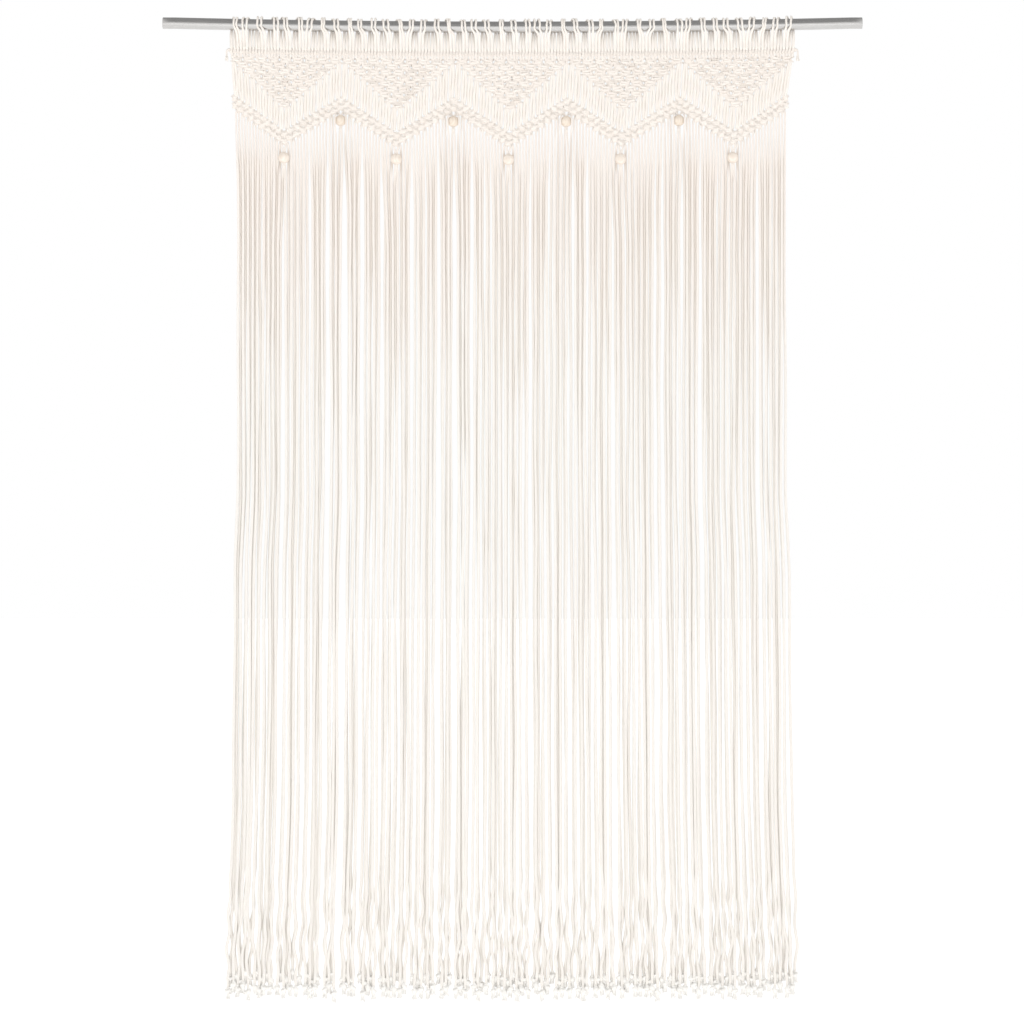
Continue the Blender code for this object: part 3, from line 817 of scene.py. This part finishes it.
# A frayed end of the holding cord: out from the bar's side, depth and down from the bar's middle.
BAR_END = (
    (0.0, 0.0, 0.0),
    (0.0050, -0.001, -0.001),
    (0.0085, -0.002, 0.003),
    (0.0095, -0.003, 0.010),
    (0.0092, -0.003, 0.016),
)
BAR_FIBRES = 12
BAR_TAIL = 0.012


def pair_place(cord):
    """Place across the bar of a cord's pair, and the cord's side of it."""
    return column_x(cord // 2) + PITCH / 2, -1 if cord % 2 == 0 else 1


def build_bar():
    """The half-hitched bar: a holding cord that every strand wraps twice, and its ends at both sides."""
    chance = np.random.default_rng(13)
    bar = Strands(5)
    wraps = 2 * CORDS
    order = np.arange(wraps)
    first = order % 2 == 0
    wrap_x = -WIDTH / 2 + (order // 2 + 0.5) * WIDTH / CORDS + np.where(first, -WRAP_APART, WRAP_APART)
    turn = np.linspace(*WRAP_TURN, 12) * math.pi
    slant = np.where(first, *WRAP_SLANTS)[:, None]
    x = wrap_x[:, None] + slant * np.cos(turn) + chance.normal(0.0, WRAP_STRAY, (wraps, 1))
    y = np.broadcast_to(-np.sin(turn) * WRAP_DEPTH, x.shape)
    drop = BAR_MIDDLE - WRAP_HALF * np.cos(turn) + chance.normal(0.0, WRAP_STRAY, (wraps, 1))
    bar.add(hang(np.stack((x, y, drop), axis=-1)), WRAP_RADIUS, 6)
    run = np.linspace(-WIDTH / 2 - HOLDING_OUT, WIDTH / 2 + HOLDING_OUT, 91)
    for level in HOLDING_LEVELS:
        bar.add(hang(np.stack((run, 0 * run, 0 * run + BAR_MIDDLE + level), axis=-1))[None], TIGHT / 2, 6)
    for sign in (-1, 1):
        path = [(sign * (WIDTH / 2 + out), depth, BAR_MIDDLE + down) for out, depth, down in BAR_END]
        bar.add(hang(smooth([path], 4)), CORD / 2, 7)
        fray(bar, hang([path[-1]]), chance, BAR_FIBRES, BAR_TAIL)
    below = []
    for cord in range(CORDS):
        pair, side = pair_place(cord)
        below.append(((pair + side * PITCH / 4, 0.0, BAR_BOTTOM - 0.004),
                      (pair + side * PITCH / 4.3, -0.0005, BAR_BOTTOM + 0.0025),
                      (pair + side * 0.0024, 0.0, FIRST_ROW - ROW_STEP / 2 + 0.002)))
    bar.add(hang(smooth(below, 3)), LOOSE_CORD, 6)
    bar.finish("half_hitched_bar", KNOT_COTTONS, "cotton_cord", "macrame_heading")


OPEN_SHARES = (-0.02, 0.12, 0.3, 0.5, 0.7, 0.88, 1.02)  # its points, from top to foot
OPEN_APART = 0.0021  # of an open cord from its pair's middle, at both ends
OPEN_BULGE = 0.0018  # how much further apart at half length
OPEN_SWAY = 0.00066  # spreads of a pair's sway, of one cord's and of its depth
OPEN_STRAY = 0.0004
OPEN_DEPTH = 0.0006


def build_open_cords():
    """The free cords between the triangles and the band."""
    chance = np.random.default_rng(17)
    paths = []
    for pair in range(COLUMNS):
        x = column_x(pair) + PITCH / 2
        top = FIRST_ROW + ROW_STEP * (min(fall(pair), fall(pair + 1)) + 0.5)
        foot = BAND_TOP + BAND_FALL * (fall(pair) + fall(pair + 1)) / 2
        sway = chance.normal(0.0, OPEN_SWAY)
        for side in (-1, 1):
            path = []
            for share in OPEN_SHARES:
                bulge = math.sin(math.pi * min(max(share, 0.0), 1.0))
                shift = side * (OPEN_APART + OPEN_BULGE * bulge)
                shift += (sway + chance.normal(0.0, OPEN_STRAY)) * bulge
                path.append((x + shift, chance.normal(0.0, OPEN_DEPTH) * bulge, top + (foot - top) * share))
            paths.append(path)
    free = Strands(6)
    free.add(hang(smooth(paths, 3)), LOOSE_CORD, 7)
    free.finish("open_cords", COTTONS, "cotton_cord", "macrame_heading")


# ---------------- fringe
THREAD_OFFSET = 0.0019  # of the two cords in a bead from its axis
BEAD_KNOT_DROP = 0.009  # from a bead's lower end to the knot under it
KNOT_LENGTH = 0.012  # of that knot
KNOT_APART = 0.0030  # the cords come out of it this far from its middle
BESIDE_BEAD = 3  # cords at each side that keep clear of it
BESIDE_STEP = 0.0062  # across, from one of them to the next
BEFORE_BEAD = -0.0110  # depth of the nearest ones: in front of an upper bead
BEHIND_BEAD = 0.0138  # and behind a lower bead
CLOSE_BELOW_BEAD = 0.034  # cords beside a bead close in again in this length

LAYER = 0.0028  # one cord this far in front, the next as far behind
SETTLE = 0.200  # a cord moves over to its lock in this length
FRINGE_LENGTH = 2.391  # drop of the longest tails
TAIL = 0.020  # lengths of a tail and of the end knot above it
KNOT_HEIGHT = 0.016
CORD_SEED = 180
END_STAGGER = (0.000, 0.025, 0.010, 0.036)  # one cord after another ends higher by these,
END_JITTER = 0.012  # and by up to this more
WAVE = 0.0065  # a pair's cords swing apart near their ends, each by up to this,
WAVE_STEP = 0.9  # in waves from pair to pair,
WAVE_DROPS = (2.110, 2.230)  # furthest somewhere between these drops

UPPER_RINGS = 36  # rings in a cord's upper, middle and wavy lower part
MIDDLE_RINGS = 34
LOWER_RINGS = 46
WAVY_FROM = 2.02  # drop where the waves begin,
WAVY_IN = 0.22  # length in which they grow,
WAVY_OUT = 0.05  # and in which they die out above the end knot
DRIFT = (0.0004, 0.0016)  # slow waves: how far aside, and radians a metre
DRIFT_TURNS = (7, 13)
DRIFT_IN = 0.15  # length in which they grow
CRIMP = (0.0012, 0.0042)  # short waves near the end: aside, in depth, and how long
CRIMP_DEPTH = (0.001, 0.003)
CRIMP_LENGTH = (0.085, 0.15)
DEPTH_LENGTH = 0.13
ANY_ANGLE = 6.3  # a wave may start anywhere in a turn

# A cord's radius at drops down the fringe: tight under the band, then loosening.
CORD_DROPS = (0.26, 0.34, 1.00, 2.00)
CORD_RADII = (CORD / 2, LOOSE_CORD, LOOSE_CORD, 0.0044)
NARROWING = (0.93, 0.86, 0.78)  # of the last rings above the end knot

END_SIZE = 0.0037  # of an end knot, and its spread
END_SIZES = (0.8, 1.15)
END_CORD = 0.0043  # radius of the cord in it
END_LIFT = 0.001  # how far it reaches up the cord
END_FIBRES = 16
END_TAIL = 0.019
TAIL_LIFT = 0.008  # the fibres start this far up in the knot
PARTS = 5  # pieces that hold the fringe


def root_place(cord):
    """Place across the bar of a cord's root."""
    return -WIDTH / 2 + (cord + 0.5) * WIDTH / CORDS


def edge_drop(x):
    """Drop of the band's lower edge at a place across the bar."""
    lean = (x / WIDTH + 0.5) * COLUMNS
    left = math.floor(lean)
    upper = band_drop(left, BAND_ROWS)
    return upper + (band_drop(left + 1, BAND_ROWS) - upper) * (lean - left)


def root(cord):
    """Where a cord leaves the strip under the band, as world x and drop."""
    drop = edge_drop(root_place(cord)) + STRIP_DROP
    return float(across(root_place(cord), drop)), drop


def hanging_places():
    """Where the cords hang, at the bar's width: those rooted between two partings share the lock."""
    places = []
    left = -WIDTH / 2 - EDGE_OUT[0]
    right = WIDTH / 2 + EDGE_OUT[1]
    roots = np.clip([x / waist_share(drop) for x, drop in map(root, range(CORDS))], left, right)
    bounds = [(left, 0.0), *PARTINGS, (right, 0.0)]
    for (start, start_width), (end, end_width) in zip(bounds, bounds[1:]):
        count = np.sum((start <= roots) & (roots <= end))
        first = start + start_width / 2
        room = end - end_width / 2 - first
        places += [first + room * (index + 0.5) / count for index in range(count)]
    return places


def bead_places():
    """Half column and node of each bead."""
    found = {}
    points = COLUMNS // (2 * HALF_POINT)
    for number in range(1, points):
        found[HALF_POINT * 2 * number] = "bead_upper_%d" % number
    for number in range(1, points + 1):
        found[HALF_POINT * (2 * number - 1)] = "bead_lower_%d" % number
    return found


BEADS = bead_places()


def bead_centre(column):
    """World centre of a bead, from its CAD node."""
    low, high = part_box(BEADS[column])
    return (low + high) / 2


def nearest_bead(cord):
    """The bead column near a cord and the cord's place beside it: 0 runs through it."""
    for column in BEADS:
        order = max(2 * column - 1 - cord, cord - 2 * column)
        if 0 <= order <= BESIDE_BEAD:
            return column, order
    return None, None


def upper_points(cord):
    """A cord's places from the band to past any bead, as world (x, y, drop below the rod's axis)."""
    pair, side = pair_place(cord)
    out = pair + side * PAIR
    out_drop = edge_drop(out)
    out_x = float(across(out, out_drop))
    root_x, root_drop = root(cord)
    start = [(out_x, 0.0, out_drop - 0.002)]
    column, order = nearest_bead(cord)
    if column is None:
        between = (out_x * 0.4 + root_x * 0.6, 0.0, (out_drop + root_drop) / 2)
        return start + [between, (root_x, 0.0, root_drop)]
    bead_x = bead_centre(column).x
    middle = rod_height(column_x(column)) - bead_centre(column).z
    side = 1 if cord >= 2 * column else -1
    if order == 0:
        x = bead_x + side * THREAD_OFFSET
        knot = middle + BEAD_RADIUS + BEAD_KNOT_DROP
        drops = (middle - BEAD_RADIUS, middle, middle + BEAD_RADIUS, knot)
        through = [(x, 0.0, drop) for drop in drops]
        return start + through + [(bead_x + side * KNOT_APART, 0.0, knot + KNOT_LENGTH)]
    above = middle - BEAD_RADIUS / 2
    below = middle + BEAD_RADIUS / 2
    nearest = order == 1
    if fall(column) == 0:
        x = bead_x + side * (BEAD_RADIUS + BESIDE_STEP * (order - 1))
        depth = BEFORE_BEAD if nearest else 0.0
        return start + [(x, depth, max(above, root_drop)), (x, depth, below)]
    depth = BEHIND_BEAD if nearest else 0.0
    past = [(root_x, depth, max(above, root_drop + 0.004)), (root_x, depth, below)]
    return start + [(root_x, 0.0, root_drop)] + past


def smooth_keys(drops, keys):
    """Points at the given drops on soft curves through the keys (x, y, drop)."""
    index = np.clip(np.searchsorted(keys[:, 2], drops, side='right') - 1, 0, len(keys) - 2)
    start, end = keys[index], keys[index + 1]
    share = np.clip((drops - start[:, 2]) / (end[:, 2] - start[:, 2]), 0.0, 1.0)
    share = share * share * (3 - 2 * share)
    points = start + (end - start) * share[:, None]
    points[:, 2] = drops
    return points


def cord_curve(cord, place_x, wave_drop, end, chance):
    """A cord's world points from its root to its end knot, every cord with the same number of them."""
    layer = LAYER if cord % 2 else -LAYER
    keys = upper_points(cord)
    if nearest_bead(cord)[0] is not None:
        keys.append((root(cord)[0], layer, keys[-1][2] + CLOSE_BELOW_BEAD))
    settled = keys[-1][2] + SETTLE
    keys.append((place_x * waist_share(settled), layer, settled))
    upper = smooth_keys(np.linspace(keys[0][2], settled, UPPER_RINGS), np.array(keys))
    knot_top = end - TAIL - KNOT_HEIGHT
    middle_drop = np.linspace(settled, WAVY_FROM, MIDDLE_RINGS)[1:-1]
    lower = np.concatenate((middle_drop, np.linspace(WAVY_FROM, knot_top, LOWER_RINGS)))
    sway = WAVE * math.sin(cord // 2 * WAVE_STEP + (cord % 2) * math.pi)
    bend = np.interp(lower, (settled, wave_drop, knot_top), (0.0, sway, 0.0))
    drift = chance.uniform(*DRIFT)
    drift = drift * np.sin(lower * chance.uniform(*DRIFT_TURNS) + chance.uniform(0, ANY_ANGLE))
    drift *= np.clip((lower - settled) / DRIFT_IN, 0.0, 1.0)
    wavy = np.clip((lower - WAVY_FROM) / WAVY_IN, 0.0, 1.0)
    wavy *= np.clip((knot_top - lower) / WAVY_OUT, 0.0, 1.0)
    turns = lower * 2 * math.pi
    crimp = np.sin(turns / chance.uniform(*CRIMP_LENGTH) + chance.uniform(0, ANY_ANGLE))
    crimp *= chance.uniform(*CRIMP) * wavy
    depth = chance.uniform(*CRIMP_DEPTH) * wavy
    depth *= np.sin(turns / DEPTH_LENGTH + chance.uniform(0, ANY_ANGLE))
    x = place_x * waist_share(lower) + bend + drift + crimp
    points = np.concatenate((upper, np.stack((x, layer + depth, lower), axis=-1)))
    points[:, 2] = rod_height(place_x) - points[:, 2]
    return points


def end_knots(tips, chance):
    """End knots that hang from the cords' tips, each turned its own way."""
    size = END_SIZE * chance.uniform(*END_SIZES, len(tips))
    knot = OVERHAND * size[:, None, None]
    turn = chance.uniform(0, 2 * math.pi, len(tips))[:, None]
    x = knot[..., 0] * np.cos(turn) - knot[..., 1] * np.sin(turn)
    y = knot[..., 0] * np.sin(turn) + knot[..., 1] * np.cos(turn)
    turned = np.stack((x, y, knot[..., 2]), axis=-1)
    shift = tips - turned[:, 0] + np.array((0.0, 0.0, END_LIFT))
    return turned + shift[:, None]


def build_fringe():
    """All the hanging cords, with end knots and frayed tails, in one piece for each fifth of the width."""
    draw = random.Random(CORD_SEED)
    chance = np.random.default_rng(19)
    curves = []
    for cord, place_x in enumerate(hanging_places()):
        end = FRINGE_LENGTH - END_STAGGER[cord % len(END_STAGGER)] - draw.uniform(0, END_JITTER)
        curves.append(cord_curve(cord, place_x, draw.uniform(*WAVE_DROPS), end, chance))
    curves = np.array(curves)
    radius = np.interp(-curves[..., 2], CORD_DROPS, CORD_RADII)
    radius[:, -len(NARROWING):] *= NARROWING
    count = CORDS // PARTS
    for index in range(PARTS):
        part = slice(index * count, (index + 1) * count)
        work = Strands(20 + index)
        work.add(curves[part], radius[part], 6)
        knots = end_knots(curves[part, -1], chance)
        work.add(smooth(knots, 3), END_CORD, 6, FRAYED)
        fray(work, knots[:, -1] + np.array((0.0, 0.0, TAIL_LIFT)), chance, END_FIBRES, END_TAIL)
        work.finish("fringe_cords_%d" % (index + 1), FRINGE_COTTONS, "cotton_cord", "fringe")


# ---------------- beads
BEAD_STEPS = 22  # rings and facets of a bead
BEAD_SIDES = 40
BEAD_LENGTH = 0.985  # of its diameter
LIP_SHARE = 1.12  # where the round starts, as a share of the bore's angle
LIPS = (
    # the lip's rounding: out from the bore, and in from the bead's end
    (0.0, 0.0016),
    (0.0002, 0.0005),
)
BEAD_KNOT = 0.0021  # size of the knot under a bead, and radius of its cord
BEAD_KNOT_CORD = 0.0022
BEAD_KNOT_GAP = 0.0072  # from the bead to the knot's middle


def bead_profile():
    """Radius and height of a bead's rings, from one lip of the bore to the other."""
    low = math.asin(BEAD_BORE / BEAD_RADIUS) * LIP_SHARE
    profile = []
    for angle in np.linspace(low, math.pi - low, BEAD_STEPS):
        profile.append((BEAD_RADIUS * math.sin(angle), BEAD_RADIUS * BEAD_LENGTH * math.cos(angle)))
    top = profile[0][1]
    upper = [(BEAD_BORE + out, top - down) for out, down in LIPS]
    lower = [(radius, -height) for radius, height in reversed(upper)]
    return upper + profile + lower


def build_beads():
    """Turned beads with a rounded bore, and the knots that hold them up."""
    chance = np.random.default_rng(23)
    profile = bead_profile()
    vertices = []
    faces = []
    for ring, (radius, height) in enumerate(profile):
        here = ring * BEAD_SIDES
        below = (ring + 1) % len(profile) * BEAD_SIDES
        for side in range(BEAD_SIDES):
            angle = 2 * math.pi * side / BEAD_SIDES
            after = (side + 1) % BEAD_SIDES
            vertices.append((radius * math.cos(angle), radius * math.sin(angle), height))
            faces.append((here + side, below + side, below + after, here + after))
    paths = []
    for column, node in BEADS.items():
        centre = bead_centre(column)
        material = WOOD_UPPER if "upper" in node else WOOD_LOWER
        bead = mesh_object("wood_" + node, vertices, faces, material)
        bead.data.shade_smooth()
        bead.location = centre
        bead.rotation_euler = (0.0, 0.0, float(chance.uniform(0, ANY_ANGLE)))
        place(bead, "bead_wood", node)
        for turned in (1, -1):
            points = OVERHAND[2:-2] * BEAD_KNOT * np.array((turned, turned, 1.0))
            paths.append(points + np.array((centre.x, 0.0, centre.z - BEAD_RADIUS - BEAD_KNOT_GAP)))
    knots = Strands(30)
    knots.add(smooth(paths, 3), BEAD_KNOT_CORD, 6)
    knots.finish("bead_knots", COTTONS, "cotton_cord", "fringe")


# ---------------- studio
FLOOR_GAP = 0.045  # below the curtain's lowest end
FLOOR_REACH = 30.0
FLOOR_WHITE = (0.90, 0.90, 0.90, 1.0)
FLOOR_GLOW = 0.50

# A dark card above the rod, which its upper half mirrors: its brightness, where it starts above and where
# it ends aside, as parts of a direction's length.
CARD_LIGHT = 0.38
CARD_HEIGHT = (0.17, 0.27)
CARD_SIDE = (0.22, 0.45)

LIGHT_SIZE = 3.0
LIGHTS = (
    # name, place, target, power, colour
    ("key", (-1.7, -8.4, -0.2), (0.0, 0.0, -1.1), 109.0, (1.0, 0.992, 0.98)),
    ("fill", (1.9, -8.4, -1.6), (0.0, 0.0, -1.2), 79.0, (0.985, 0.99, 1.0)),
)


def build_floor():
    """A plain white floor below the hanging curtain."""
    white, n = new_material("floor_white")
    n.finish(Base_Color=FLOOR_WHITE, Roughness=0.9, Emission_Color=(1.0, 1.0, 1.0, 1.0),
             Emission_Strength=FLOOR_GLOW)
    height = CAD_LOW.z - FLOOR_GAP
    corners = [(x * FLOOR_REACH, y * FLOOR_REACH, height) for x, y in ((-1, -1), (1, -1), (1, 1), (-1, 1))]
    floor = mesh_object("floor", corners, [(0, 1, 2, 3)], white)


def build_surroundings():
    """White all round, but for the dark card."""
    world = bpy.data.worlds.new("studio")
    bpy.context.scene.world = world
    world.use_nodes = True
    n = Nodes(world.node_tree, "Background")
    where = n.add("ShaderNodeTexCoord").outputs["Generated"]
    split = n.add("ShaderNodeSeparateXYZ", {0: where}).outputs
    sides = []
    for value, limits in ((split["Z"], (*CARD_HEIGHT, 1.0, CARD_LIGHT)),
                          (n.math('ABSOLUTE', split["X"]), (*CARD_SIDE, 0.0, 1.0))):
        inputs = dict(zip(("From Min", "From Max", "To Min", "To Max"), limits))
        sides.append(n.add("ShaderNodeMapRange", {"Value": value, **inputs}).outputs[0])
    n.finish(Color=n.math('MAXIMUM', *sides), Strength=1.0)


def build_lights():
    """Two soft lights in front, which the rod doesn't mirror."""
    for name, location, target, power, colour in LIGHTS:
        light = bpy.data.lights.new(name, 'AREA')
        light.shape = 'RECTANGLE'
        light.size = LIGHT_SIZE
        light.size_y = LIGHT_SIZE
        light.energy = power
        light.color = colour
        obj = new_object(name, light)
        obj.location = location
        toward = Vector(target) - Vector(location)
        obj.rotation_euler = toward.to_track_quat('-Z', 'Y').to_euler()
        obj.visible_glossy = False


def build_camera():
    """A camera square on to the curtain's front."""
    camera = bpy.data.cameras.new("camera")
    camera.sensor_width = SENSOR
    camera.lens = SENSOR * CAMERA_DISTANCE / VIEW_WIDTH
    camera.clip_end = 100.0
    obj = new_object("camera", camera)
    obj.location = (VIEW_X, -CAMERA_DISTANCE, -VIEW_DROP)
    obj.rotation_euler = (math.pi / 2, 0.0, 0.0)
    bpy.context.scene.camera = obj
    bpy.context.scene.view_settings.view_transform = 'Standard'


build_rod()
build_loops()
build_bar()
build_knots()
build_open_cords()
build_fringe()
build_beads()
build_floor()
build_surroundings()
build_lights()
build_camera()
